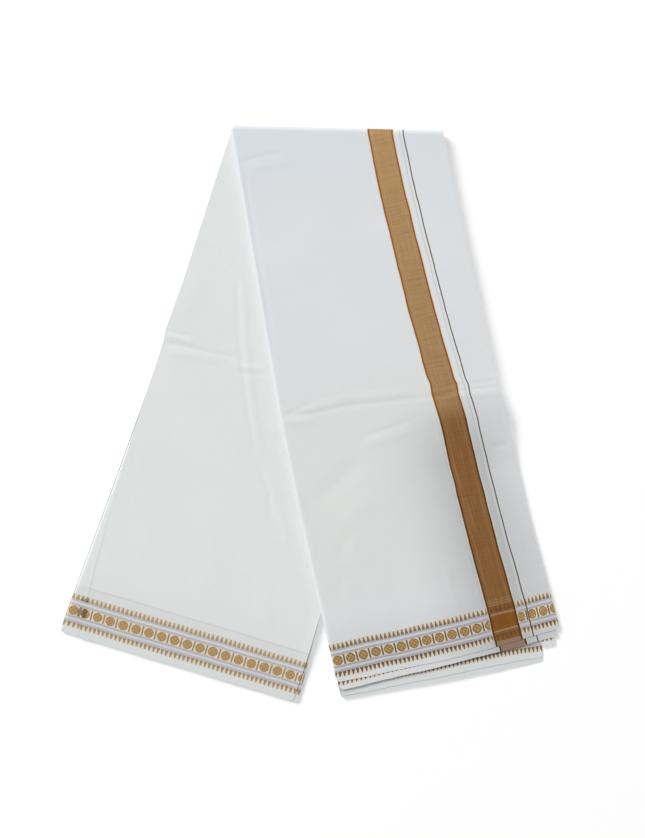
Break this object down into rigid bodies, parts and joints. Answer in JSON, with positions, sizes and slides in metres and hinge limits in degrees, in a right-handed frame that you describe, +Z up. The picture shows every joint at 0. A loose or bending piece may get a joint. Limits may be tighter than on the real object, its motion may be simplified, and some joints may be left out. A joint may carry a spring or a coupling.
{
  "type": "folded dhoti cloth",
  "caption": "White cotton dhoti with a gold band and woven borders, pressed into a folded strip and doubled over flat with its legs spread.",
  "frame": {"origin": "middle of the whole outline, on the surface that the cloth lies on", "axes": "+X to the right, +Y from the hems towards the fold, +Z up from the surface"},
  "size_m": [0.5602, 0.664, 0.0165],
  "materials": {
    "bleached_cotton": "bleached white plain-weave cotton with a gold metallic band and small gold, brown and lilac woven borders"
  },
  "bodies": {
    "root": {"front_top_panel": "bleached_cotton", "front_second_panel": "bleached_cotton", "front_third_panel": "bleached_cotton", "front_core": "bleached_cotton", "front_fourth_panel": "bleached_cotton", "front_lowest_panel": "bleached_cotton", "top_fold": "bleached_cotton", "top_fold_core": "bleached_cotton", "back_top_panel": "bleached_cotton", "back_second_panel": "bleached_cotton", "back_core": "bleached_cotton", "back_lowest_panel": "bleached_cotton"}
  },
  "joints": []
}
